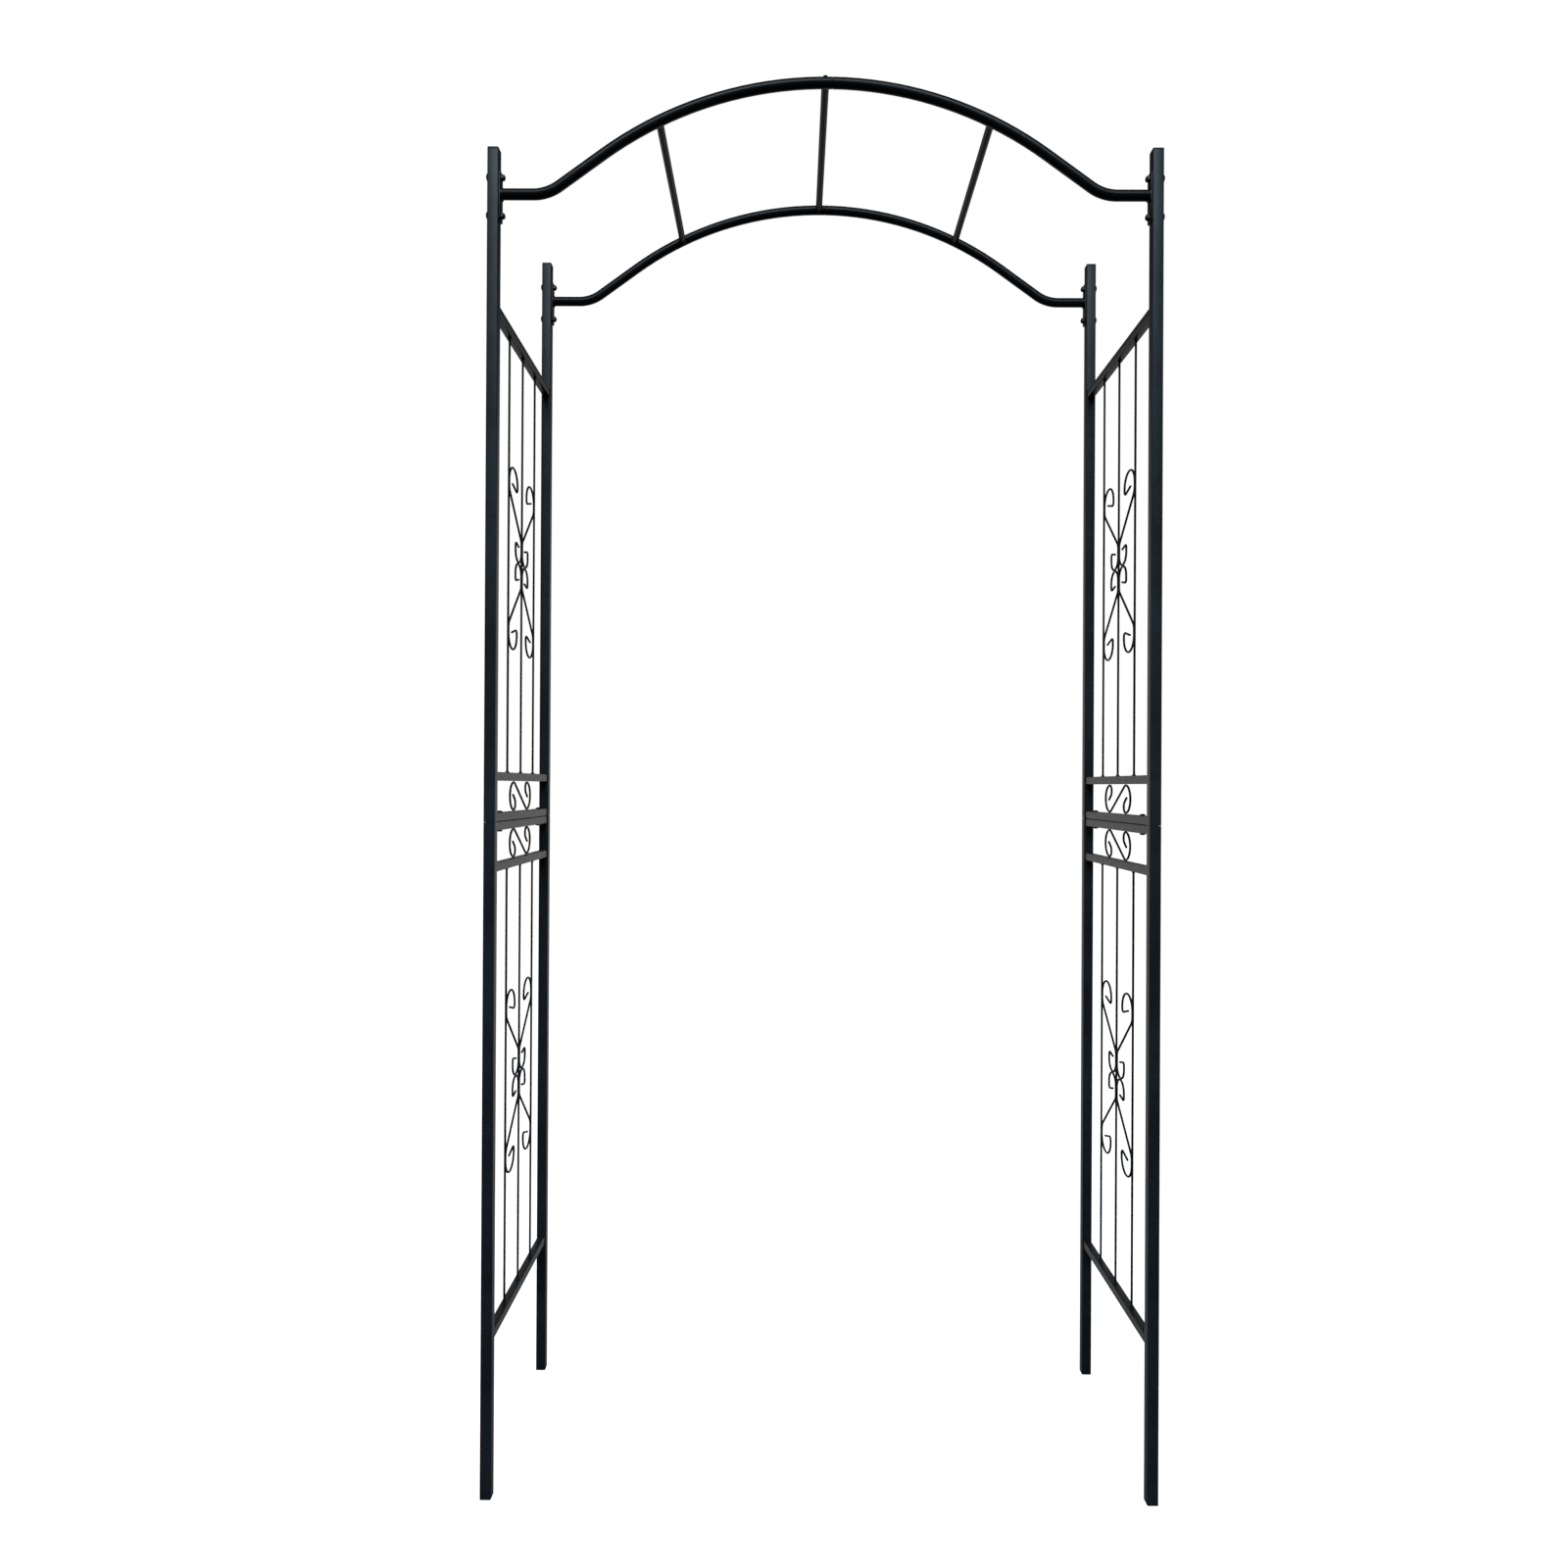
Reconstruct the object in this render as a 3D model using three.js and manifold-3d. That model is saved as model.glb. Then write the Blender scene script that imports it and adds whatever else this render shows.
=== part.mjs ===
// Metal trellis arch for a garden path: two side ladders of square steel tube, each made of an
// upper and a lower welded panel bolted end to end, and two round-tube hoops over the top that
// are joined by three crossbars. Millimetres. X runs across the path, Y along it (the front is
// -Y), Z is up, and the origin is on the ground at the middle of the arch.
import * as THREE from "three";
import { mergeVertices } from "three/addons/utils/BufferGeometryUtils.js";
import Module from "manifold-3d";

const wasm = await Module();
wasm.setup();

// Driving dimensions
const WIDTH = 1140; // outside to outside of the posts, across the path
const DEPTH = 400; // outside to outside of the posts, along the path
const PANEL_LENGTH = 1140; // one side panel with its end cap; two stand on each other
const FIT_GAP = 0.3; // between pieces that touch or are welded face to face
const JOINT_GAP = 0.6; // between the upper and the lower panel

const POST_SIDE = 19;
const POST_WALL = 0.8;
const POST_CORNER = 2;

const RAIL_SIDE = 15;
const RAIL_WALL = 0.8;
const RAIL_CORNER = 1.5;
const OUTER_RAIL_INSET = 260; // from the capped end of a panel to its outer rail
const RAIL_PITCH = 70; // from the joint rail to the middle rail
const JOINT_BOLT_INSET = 55; // from a post's centre to the joint bolt

const WIRE_DIAMETER = 4;
const ROD_PITCH = 90;
const WELD_SINK = 1; // how far a welded scroll wire melts into its rod

// Double-curl scrolls, four to a grille, drawn as bends and straight runs
const BIG_CURL_RADIUS = 27.5;
const BIG_CURL_RUN = 9; // straight along the outer rod
const BIG_CURL_HOOK = [{ run: 4 }, { turn: 106, radius: 6 }, { run: 27 }];
const SMALL_CURL_RADIUS = 20;
const SMALL_CURL_RUN = 17; // straight along the centre rod
const SMALL_CURL_HOOK = [{ run: 8 }, { turn: 104, radius: 5 }, { run: 17 }];
const SCROLL_LEAN = 47.6; // degrees from the rods to the scroll's long straight
const SCROLL_OUTER_BEND = 18;
const SCROLL_INNER_BEND = 12;

// Single scroll in the narrow bay between the joint rail and the middle rail
const BAY_SLOPE = 31; // degrees from the rails to the straight
const BAY_BEND = 15;
const BAY_HOOK = [{ turn: 145, radius: 11 }, { run: 14 }];

const HOOP_DIAMETER = 18;
const HOOP_WALL = 1;
const HOOP_DROP = 76; // from the post tops down to the hoop's ends
const HOOP_RISE = 190; // from the hoop's ends up to its crown
const HOOP_END_RUN = 57; // level run out of the post
const HOOP_BEND = 75;
const HOOP_STRAIGHT = 91; // straight run between the bend and the crown
const HOOP_SEAM = 12; // from the middle to the seam of the two half hoops
const SPIGOT_REACH = 32; // how far the right half reaches into the left half
const SPIGOT_ROOT = 8; // how far the spigot is fixed inside its own half
const SPIGOT_FIT = 0.5; // radial clearance of the spigot in the left half
const SPIGOT_WALL = 1;

const CROSSBAR_DIAMETER = 13;
const CROSSBAR_WALL = 0.8;
const CROSSBAR_SPACING = 281;

const FLANGE_THICKNESS = 2.5;
const FLANGE_LENGTH = 85;
const FLANGE_DROP = 4.5; // from the hoop's axis down to the flange's middle
const FLANGE_CORNER = 3;
const FLANGE_BOLT_PITCH = 65;
const FLANGE_WELD = 4;

const CAP_LID = 3;
const CAP_EDGE = 0.6;
const CAP_PLUG_LENGTH = 12;
const CAP_PLUG_FIT = 0.4;

const BOLT_HOLE_FIT = 0.5; // radial clearance of a bolt or screw in its hole
const HEAD_RIM = 0.3; // of a domed head's height, below the dome
const HEAD_FLAT = 0.6; // of a domed head's radius, on top
const FLANGE_BOLT = {
  diameter: 6,
  head: { radius: 6.5, height: 3.5 },
  nut: { acrossFlats: 10, height: 5 },
  tip: 1.4, // thread past the nut
};
const JOINT_BOLT = {
  diameter: 5,
  head: { radius: 5, height: 2.8 },
  nut: { acrossFlats: 8, height: 2.7 },
  tip: 0.3,
};
const CROWN_SCREW = { diameter: 4, head: { radius: 4.2, height: 3 }, length: 11 };

const HOOP_CHORD_ERROR = 0.25; // how far a straight facet may stray from its arc
const WIRE_CHORD_ERROR = 1;
const TUBE_SIDES = 12;
const FASTENER_SIDES = 8;
const WIRE_SIDES = 5;
const CORNER_STEPS = 1;

// Sizes that follow from the driving dimensions
const postX = (WIDTH - POST_SIDE) / 2;
const postY = (DEPTH - POST_SIDE) / 2;
const postTop = 2 * PANEL_LENGTH;
const tubeTop = PANEL_LENGTH - CAP_LID - FIT_GAP;
const railLength = 2 * postY - POST_SIDE - 2 * FIT_GAP;
const jointRailZ = (JOINT_GAP + RAIL_SIDE) / 2;
const middleRailZ = jointRailZ + RAIL_PITCH;
const outerRailZ = PANEL_LENGTH - OUTER_RAIL_INSET - RAIL_SIDE / 2;
const wireRadius = WIRE_DIAMETER / 2;
const hoopRadius = HOOP_DIAMETER / 2;
const hoopBore = hoopRadius - HOOP_WALL;
const hoopEndZ = postTop - HOOP_DROP;
const halfSpan = postX - POST_SIDE / 2; // from the middle to the posts' inner faces
const flangeFace = halfSpan - FIT_GAP; // flange's side against the post
const flangeInnerFace = flangeFace - FLANGE_THICKNESS;
const flangeZ = hoopEndZ - FLANGE_DROP;
const holeRadiusFor = (fastener) => fastener.diameter / 2 + BOLT_HOLE_FIT;
const sides = { left: -1, right: 1 };
const ends = { front: -1, rear: 1 };

const alongX = new THREE.Vector3(1, 0, 0);
const alongY = new THREE.Vector3(0, 1, 0);
const alongZ = new THREE.Vector3(0, 0, 1);
const radians = THREE.MathUtils.degToRad;
const degrees = THREE.MathUtils.radToDeg;

// Finishes: satin black powder coat on the steel, black plastic caps, blackened fasteners
const finishes = {
  post: { color: 0x28303a, roughness: 0.42, metalness: 0.3 },
  rail: { color: 0x2b2f34, roughness: 0.45, metalness: 0.3 },
  wire: { color: 0x121417, roughness: 0.5, metalness: 0.3 },
  hoop: { color: 0x16191d, roughness: 0.38, metalness: 0.3 },
  cap: { color: 0x101113, roughness: 0.6, metalness: 0 },
  fastener: { color: 0x1a1c20, roughness: 0.4, metalness: 0.7 },
};

function piece(name, geometry, finish) {
  const mesh = new THREE.Mesh(geometry, new THREE.MeshStandardMaterial(finishes[finish]));
  mesh.name = name;
  return mesh;
}

// Booleans
function solidOf(geometry) {
  const bare = new THREE.BufferGeometry();
  bare.setAttribute("position", geometry.getAttribute("position"));
  bare.setIndex(geometry.index);
  const merged = mergeVertices(bare, 1e-3);
  return new wasm.Manifold(
    new wasm.Mesh({
      numProp: 3,
      vertProperties: merged.attributes.position.array,
      triVerts: new Uint32Array(merged.index.array),
    }),
  );
}

function geometryOf(solid) {
  const { vertProperties, triVerts } = solid.getMesh();
  const geometry = new THREE.BufferGeometry();
  geometry.setAttribute("position", new THREE.BufferAttribute(vertProperties, 3));
  geometry.setIndex(new THREE.BufferAttribute(triVerts, 1));
  geometry.computeVertexNormals();
  return geometry;
}

const join = (...parts) => geometryOf(parts.map(solidOf).reduce((a, b) => a.add(b)));

const cut = (body, cutters) =>
  geometryOf(cutters.map(solidOf).reduce((a, b) => a.subtract(b), solidOf(body)));

// Sections
function circlePoints(radius, count) {
  const step = (2 * Math.PI) / count;
  return Array.from({ length: count }, (_, i) => {
    return new THREE.Vector2(radius * Math.cos(i * step), radius * Math.sin(i * step));
  });
}

function roundSection(radius, bore = 0, count = TUBE_SIDES) {
  const section = new THREE.Shape(circlePoints(radius, count));
  if (bore > 0) section.holes.push(new THREE.Path(circlePoints(bore, count)));
  return section;
}

function roundedRectangle(outline, width, height, corner) {
  const x = width / 2 - corner;
  const y = height / 2 - corner;
  outline.absarc(x, y, corner, 0, Math.PI / 2);
  outline.absarc(-x, y, corner, Math.PI / 2, Math.PI);
  outline.absarc(-x, -y, corner, Math.PI, 1.5 * Math.PI);
  outline.absarc(x, -y, corner, 1.5 * Math.PI, 2 * Math.PI);
  outline.closePath();
  return outline;
}

function squareTube(side, wall, corner, length) {
  const bore = side - 2 * wall;
  const section = roundedRectangle(new THREE.Shape(), side, side, corner);
  section.holes.push(roundedRectangle(new THREE.Path(), bore, bore, corner - wall));
  return new THREE.ExtrudeGeometry(section, {
    depth: length,
    bevelEnabled: false,
    curveSegments: CORNER_STEPS,
  });
}

// A cylinder along an axis, centred on a point, with its flats outside the given radius
function drill(radius, length, axis, centre, count = FASTENER_SIDES) {
  const reach = radius / Math.cos(Math.PI / count);
  const body = new THREE.CylinderGeometry(reach, reach, length, count);
  const turn = new THREE.Quaternion().setFromUnitVectors(new THREE.Vector3(0, 1, 0), axis);
  return body.applyQuaternion(turn).translate(centre.x, centre.y, centre.z);
}

// A path with one station where each facet starts, so that long bends and tight ones are both
// cut into as few facets as they need.
class BentPath extends THREE.Curve {
  constructor(stations) {
    super();
    this.stations = stations;
  }

  stationAt(t) {
    return this.stations[Math.round(t * (this.stations.length - 1))];
  }

  getPointAt(t, target = new THREE.Vector3()) {
    return target.copy(this.stationAt(t).point);
  }

  getTangentAt(t, target = new THREE.Vector3()) {
    return target.copy(this.stationAt(t).tangent);
  }
}

// Follows straight runs { run } and bends { turn, radius } in a plane, as a bending machine
// does. Turns are in degrees and positive to the left; an angle is a heading from the first axis.
function bend([a, b], angle, moves, chordError) {
  const stations = [{ a, b, angle }];
  for (const { run = 0, turn = 0, radius = 0 } of moves) {
    const arc = Math.abs(radians(turn));
    const steps = turn ? Math.ceil(arc / (2 * Math.acos(1 - chordError / radius))) : 1;
    const chord = turn ? 2 * radius * Math.sin(arc / steps / 2) : run;
    const halfStep = radians(turn) / steps / 2;
    for (let i = 0; i < steps; i++) {
      angle += halfStep;
      a += chord * Math.cos(angle);
      b += chord * Math.sin(angle);
      angle += halfStep;
      stations.push({ a, b, angle });
    }
  }
  return stations;
}

// A bent path through a start point: one list of moves leads ahead from it, the other back.
// place(a, b) puts the plane of the moves in space.
function bentPath({ start, heading, ahead, back = [], chordError, place }) {
  const angle = radians(heading);
  const behind = bend(start, angle + Math.PI, back, chordError)
    .slice(1)
    .reverse()
    .map((station) => ({ ...station, angle: station.angle + Math.PI }));
  const stations = [...behind, ...bend(start, angle, ahead, chordError)];
  const origin = place(0, 0);
  return new BentPath(
    stations.map((s) => ({
      point: place(s.a, s.b),
      tangent: place(Math.cos(s.angle), Math.sin(s.angle)).sub(origin).normalize(),
    })),
  );
}

function sweep(section, path) {
  return new THREE.ExtrudeGeometry(section, {
    steps: path.stations.length - 1,
    extrudePath: path,
    curveSegments: CORNER_STEPS,
  });
}

// Fasteners stand on their head's underside: head towards +Y, shank towards -Y.
function domedFastener({ diameter, head, length }) {
  const shankRadius = diameter / 2;
  const chamfer = shankRadius / 4;
  const profile = [
    [0, -length],
    [shankRadius - chamfer, -length],
    [shankRadius, chamfer - length],
    [shankRadius, 0],
    [head.radius, 0],
    [head.radius, head.height * HEAD_RIM],
    [head.radius * HEAD_FLAT, head.height],
    [0, head.height],
  ];
  const points = profile.map(([r, y]) => new THREE.Vector2(r, y));
  return new THREE.LatheGeometry(points, FASTENER_SIDES);
}

function boltWithNut(bolt, grip) {
  const { acrossFlats, height } = bolt.nut;
  const reach = acrossFlats / 2 / Math.cos(Math.PI / 6);
  const nut = new THREE.CylinderGeometry(reach, reach, height, 6);
  nut.translate(0, -grip - height / 2, 0);
  return join(domedFastener({ ...bolt, length: grip + height + bolt.tip }), nut);
}

// Plug for an open post end, with its lid's top at z = 0
function endCap() {
  const inner = POST_SIDE - 2 * CAP_EDGE;
  const outline = roundedRectangle(new THREE.Shape(), inner, inner, POST_CORNER - CAP_EDGE);
  const lid = new THREE.ExtrudeGeometry(outline, {
    depth: CAP_LID - 2 * CAP_EDGE,
    bevelThickness: CAP_EDGE,
    bevelSize: CAP_EDGE,
    bevelSegments: 1,
    curveSegments: CORNER_STEPS,
  }).translate(0, 0, CAP_EDGE - CAP_LID);
  const side = POST_SIDE - 2 * POST_WALL - 2 * CAP_PLUG_FIT;
  const plug = new THREE.ExtrudeGeometry(
    roundedRectangle(new THREE.Shape(), side, side, POST_CORNER - POST_WALL),
    { depth: CAP_PLUG_LENGTH, bevelEnabled: false, curveSegments: CORNER_STEPS },
  );
  plug.translate(0, 0, CAP_EDGE - CAP_LID - CAP_PLUG_LENGTH);
  return join(lid, plug);
}

// Side panels. Each is drawn with its joint end at z = 0 and its capped end upwards.
function post(drilled) {
  const tube = squareTube(POST_SIDE, POST_WALL, POST_CORNER, tubeTop - JOINT_GAP / 2);
  tube.translate(0, 0, JOINT_GAP / 2);
  if (!drilled) return tube;
  const holes = [-1, 1].map((end) => {
    const holeZ = flangeZ - PANEL_LENGTH + (end * FLANGE_BOLT_PITCH) / 2;
    const centre = new THREE.Vector3(0, 0, holeZ);
    return drill(holeRadiusFor(FLANGE_BOLT), 2 * POST_SIDE, alongX, centre);
  });
  return cut(tube, holes);
}

function rail(drilled) {
  const tube = squareTube(RAIL_SIDE, RAIL_WALL, RAIL_CORNER, railLength);
  tube.translate(0, 0, -railLength / 2).rotateX(Math.PI / 2);
  if (!drilled) return tube;
  const holes = [-1, 1].map((end) => {
    const centre = new THREE.Vector3(0, end * (postY - JOINT_BOLT_INSET), 0);
    return drill(holeRadiusFor(JOINT_BOLT), 2 * RAIL_SIDE, alongZ, centre);
  });
  return cut(tube, holes);
}

const wire = (path) => sweep(roundSection(wireRadius, 0, WIRE_SIDES), path);

// One of a grille's four double-curl scrolls, welded along the centre rod and an outer rod.
// across and along are 1 or -1 and choose its quarter of the grille.
function curlScroll(middleZ, across, along) {
  const lean = radians(SCROLL_LEAN);
  const rodOffset = WIRE_DIAMETER - WELD_SINK;
  const crossing = ROD_PITCH - 2 * rodOffset;
  const bends = SCROLL_OUTER_BEND + SCROLL_INNER_BEND;
  const straight = (crossing - bends * (1 - Math.cos(lean))) / Math.sin(lean);
  const path = bentPath({
    start: [rodOffset, wireRadius - WELD_SINK / 2 + SMALL_CURL_RADIUS],
    heading: 90,
    ahead: [
      { run: SMALL_CURL_RUN },
      { turn: -SCROLL_LEAN, radius: SCROLL_INNER_BEND },
      { run: straight },
      { turn: SCROLL_LEAN, radius: SCROLL_OUTER_BEND },
      { run: BIG_CURL_RUN },
      { turn: 180, radius: BIG_CURL_RADIUS },
      ...BIG_CURL_HOOK,
    ],
    back: [{ turn: 180, radius: SMALL_CURL_RADIUS }, ...SMALL_CURL_HOOK],
    chordError: WIRE_CHORD_ERROR,
    place: (a, b) => new THREE.Vector3(0, across * a, middleZ + along * b),
  });
  return wire(path);
}

// Three upright rods between the middle rail and the outer rail, with four scrolls welded on
function grille() {
  const low = middleRailZ + RAIL_SIDE / 2 + FIT_GAP;
  const high = outerRailZ - RAIL_SIDE / 2 - FIT_GAP;
  const parts = [-1, 0, 1].map((row) => {
    const rod = new THREE.CylinderGeometry(wireRadius, wireRadius, high - low, WIRE_SIDES);
    return rod.rotateX(Math.PI / 2).translate(0, row * ROD_PITCH, (low + high) / 2);
  });
  for (const across of [-1, 1]) {
    for (const along of [-1, 1]) parts.push(curlScroll((low + high) / 2, across, along));
  }
  return join(...parts);
}

// The S-shaped wire in the narrow bay; it looks the same after half a turn.
function bayScroll() {
  const slope = radians(BAY_SLOPE);
  const curl = (RAIL_PITCH - RAIL_SIDE) / 2 - FIT_GAP - wireRadius;
  const straight = (2 * curl - 2 * BAY_BEND * (1 - Math.cos(slope))) / Math.sin(slope);
  const half = [
    { run: straight / 2 },
    { turn: BAY_SLOPE, radius: BAY_BEND },
    { turn: 180, radius: curl },
    ...BAY_HOOK,
  ];
  const path = bentPath({
    start: [0, 0],
    heading: -BAY_SLOPE,
    ahead: half,
    back: half,
    chordError: WIRE_CHORD_ERROR,
    place: (a, b) => new THREE.Vector3(0, a, jointRailZ + RAIL_PITCH / 2 + b),
  });
  return wire(path);
}

function sidePanel(level, side) {
  const panel = new THREE.Group();
  panel.position.set(sides[side] * postX, 0, PANEL_LENGTH);
  // The lower panels hang from the joint; the right one is fitted the other way round.
  if (level === "lower" && side === "left") panel.rotation.x = Math.PI;
  if (level === "lower" && side === "right") panel.rotation.y = Math.PI;
  const swapped = panel.rotation.x > 0 ? -1 : 1;
  for (const [end, way] of Object.entries(ends)) {
    const upright = piece(`${level}_post_${end}_${side}`, post(level === "upper"), "post");
    upright.position.y = swapped * way * postY;
    panel.add(upright);
    const kind = level === "upper" ? "top" : "foot";
    const cap = piece(`${kind}_cap_${end}_${side}`, endCap(), "cap");
    cap.position.set(0, swapped * way * postY, PANEL_LENGTH);
    panel.add(cap);
  }
  const railHeights = { joint: jointRailZ, middle: middleRailZ, outer: outerRailZ };
  for (const [kind, z] of Object.entries(railHeights)) {
    const bar = piece(`${level}_${kind}_rail_${side}`, rail(kind === "joint"), "rail");
    bar.position.z = z;
    panel.add(bar);
  }
  panel.add(piece(`${level}_grille_${side}`, grille(), "wire"));
  panel.add(piece(`${level}_bay_scroll_${side}`, bayScroll(), "wire"));
  return panel;
}

// Hoops. The crown's radius and the slope follow from the span, the rise and the straight run.
function hoopShape() {
  const span = halfSpan - HOOP_END_RUN;
  const crownFor = (angle) =>
    (span - HOOP_BEND * Math.sin(angle) - HOOP_STRAIGHT * Math.cos(angle)) / Math.sin(angle);
  const riseFor = (angle) =>
    (crownFor(angle) + HOOP_BEND) * (1 - Math.cos(angle)) + HOOP_STRAIGHT * Math.sin(angle);
  let [low, high] = [radians(1), radians(89)];
  while (high - low > 1e-9) {
    const middle = (low + high) / 2;
    if (riseFor(middle) < HOOP_RISE) low = middle;
    else high = middle;
  }
  return { slope: low, crown: crownFor(low) };
}

const { slope: hoopSlope, crown: crownRadius } = hoopShape();
const crownZ = hoopEndZ + HOOP_RISE;

// Height of the hoop's axis and its tilt at a distance from the middle
function hoopAt(x) {
  const crownReach = crownRadius * Math.sin(hoopSlope);
  const reach = Math.min(Math.abs(x), crownReach);
  const tilt = Math.asin(reach / crownRadius);
  const drop = crownRadius * (1 - Math.cos(tilt));
  const past = (Math.abs(x) - reach) * Math.tan(hoopSlope);
  return { z: crownZ - drop - past, tilt: Math.sign(x) * tilt };
}

// A tube along the crown, from one angle off the middle to another, on one side's half
function crownTube(section, from, to, place) {
  const path = bentPath({
    start: [halfSpan - crownRadius * Math.sin(from), hoopAt(crownRadius * Math.sin(from)).z],
    heading: degrees(from),
    ahead: [{ turn: degrees(to - from), radius: crownRadius }],
    chordError: HOOP_CHORD_ERROR,
    place,
  });
  return sweep(section, path);
}

function flange(side, hoopY) {
  const plate = new THREE.ExtrudeGeometry(
    roundedRectangle(new THREE.Shape(), POST_SIDE, FLANGE_LENGTH, FLANGE_CORNER),
    { depth: FLANGE_THICKNESS, bevelEnabled: false, curveSegments: CORNER_STEPS },
  );
  plate.translate(0, 0, -FLANGE_THICKNESS / 2);
  plate.applyMatrix4(new THREE.Matrix4().makeBasis(alongY, alongZ, alongX));
  const plateX = (side * (flangeFace + flangeInnerFace)) / 2;
  plate.translate(plateX, hoopY, flangeZ);
  const holes = [-1, 1].map((end) => {
    const centre = new THREE.Vector3(plateX, hoopY, flangeZ + (end * FLANGE_BOLT_PITCH) / 2);
    return drill(holeRadiusFor(FLANGE_BOLT), 2 * FLANGE_THICKNESS, alongX, centre);
  });
  return cut(plate, holes);
}

// The weld bead round a hoop's end, as wide as its flange
function flangeWeld(side, hoopY) {
  const inside = (hoopRadius + hoopBore) / 2;
  const root = -FLANGE_THICKNESS / 2;
  const profile = [
    new THREE.Vector2(inside, root),
    new THREE.Vector2(hoopRadius + FLANGE_WELD, root),
    new THREE.Vector2(hoopRadius + FLANGE_WELD, 0),
    new THREE.Vector2(hoopRadius, FLANGE_WELD),
    new THREE.Vector2(inside, FLANGE_WELD),
    new THREE.Vector2(inside, root),
  ];
  const bead = new THREE.LatheGeometry(profile, TUBE_SIDES).rotateZ((side * Math.PI) / 2);
  const reach = 4 * hoopRadius;
  const flangeWidth = new THREE.BoxGeometry(reach, POST_SIDE, reach);
  const trimmed = geometryOf(solidOf(bead).intersect(solidOf(flangeWidth)));
  return trimmed.translate(side * flangeInnerFace, hoopY, hoopEndZ);
}

function hoopHalf(end, side) {
  const hoopY = ends[end] * postY;
  const way = sides[side];
  const place = (a, b) => new THREE.Vector3(way * (halfSpan - a), hoopY, b);
  const seamAngle = Math.asin(HOOP_SEAM / crownRadius);
  const endAngle = side === "left" ? -seamAngle : seamAngle + FIT_GAP / crownRadius;
  const start = FIT_GAP + FLANGE_THICKNESS / 2;
  const tubePath = bentPath({
    start: [start, hoopEndZ],
    heading: 0,
    ahead: [
      { run: HOOP_END_RUN - start },
      { turn: degrees(hoopSlope), radius: HOOP_BEND },
      { run: HOOP_STRAIGHT },
      { turn: degrees(endAngle - hoopSlope), radius: crownRadius },
    ],
    chordError: HOOP_CHORD_ERROR,
    place,
  });
  const parts = [
    sweep(roundSection(hoopRadius, hoopBore), tubePath),
    flange(way, hoopY),
    flangeWeld(way, hoopY),
  ];
  if (side === "right") {
    // A reduced spigot, fixed inside this half's end, that slides into the left half
    const rootAngle = Math.asin((HOOP_SEAM + SPIGOT_ROOT) / crownRadius);
    const tipAngle = Math.asin((HOOP_SEAM - SPIGOT_REACH) / crownRadius);
    const spigotRadius = hoopBore - SPIGOT_FIT;
    const spigotBore = spigotRadius - SPIGOT_WALL;
    const collar = roundSection((hoopRadius + hoopBore) / 2, (spigotRadius + spigotBore) / 2);
    parts.push(crownTube(roundSection(spigotRadius, spigotBore), rootAngle, tipAngle, place));
    parts.push(crownTube(collar, rootAngle, endAngle, place));
  }
  const screwCentre = new THREE.Vector3(0, hoopY, crownZ + hoopRadius);
  const screwHole = drill(holeRadiusFor(CROWN_SCREW), HOOP_DIAMETER, alongZ, screwCentre);
  return piece(`hoop_half_${end}_${side}`, cut(join(...parts), [screwHole]), "hoop");
}

// A bar between the two hoops, with its ends coped to their round
function crossbar(name, x) {
  const { z, tilt } = hoopAt(x);
  const radius = CROSSBAR_DIAMETER / 2;
  const bar = new THREE.ExtrudeGeometry(roundSection(radius, radius - CROSSBAR_WALL), {
    depth: 2 * postY,
    bevelEnabled: false,
  });
  bar.rotateX(Math.PI / 2).translate(x, postY, z);
  const alongHoop = new THREE.Vector3(Math.cos(tilt), 0, -Math.sin(tilt));
  const copes = Object.values(ends).map((way) => {
    const centre = new THREE.Vector3(x, way * postY, z);
    return drill(hoopRadius + FIT_GAP, 4 * CROSSBAR_DIAMETER, alongHoop, centre, TUBE_SIDES);
  });
  return piece(name, cut(bar, copes), "hoop");
}

function flangeBolts(end, side) {
  const grip = POST_SIDE + FLANGE_THICKNESS + 3 * FIT_GAP;
  const headX = sides[side] * (postX + POST_SIDE / 2 + FIT_GAP);
  return [["upper", 1], ["lower", -1]].map(([level, way]) => {
    const geometry = boltWithNut(FLANGE_BOLT, grip);
    const bolt = piece(`flange_bolt_${level}_${end}_${side}`, geometry, "fastener");
    bolt.rotation.z = (-sides[side] * Math.PI) / 2;
    bolt.position.set(headX, ends[end] * postY, flangeZ + (way * FLANGE_BOLT_PITCH) / 2);
    return bolt;
  });
}

function jointBolt(end, side) {
  const grip = 2 * RAIL_SIDE + JOINT_GAP + 2 * FIT_GAP;
  const headZ = PANEL_LENGTH + jointRailZ + RAIL_SIDE / 2 + FIT_GAP;
  const bolt = piece(`joint_bolt_${end}_${side}`, boltWithNut(JOINT_BOLT, grip), "fastener");
  bolt.rotation.x = Math.PI / 2;
  bolt.position.set(sides[side] * postX, ends[end] * (postY - JOINT_BOLT_INSET), headZ);
  return bolt;
}

function crownScrew(end) {
  const screw = piece(`crown_screw_${end}`, domedFastener(CROWN_SCREW), "fastener");
  screw.rotation.x = Math.PI / 2;
  screw.position.set(0, ends[end] * postY, crownZ + hoopRadius + FIT_GAP);
  return screw;
}

const arch = new THREE.Group();
for (const side of Object.keys(sides)) {
  arch.add(sidePanel("upper", side), sidePanel("lower", side));
  for (const end of Object.keys(ends)) {
    arch.add(hoopHalf(end, side), ...flangeBolts(end, side), jointBolt(end, side));
  }
}
arch.add(crownScrew("front"), crownScrew("rear"));
arch.add(crossbar("crossbar_left", -CROSSBAR_SPACING));
arch.add(crossbar("crossbar_centre", 0));
arch.add(crossbar("crossbar_right", CROSSBAR_SPACING));

export default arch;
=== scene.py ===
import math

import bmesh
import bpy
from mathutils import Matrix, Vector


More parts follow.
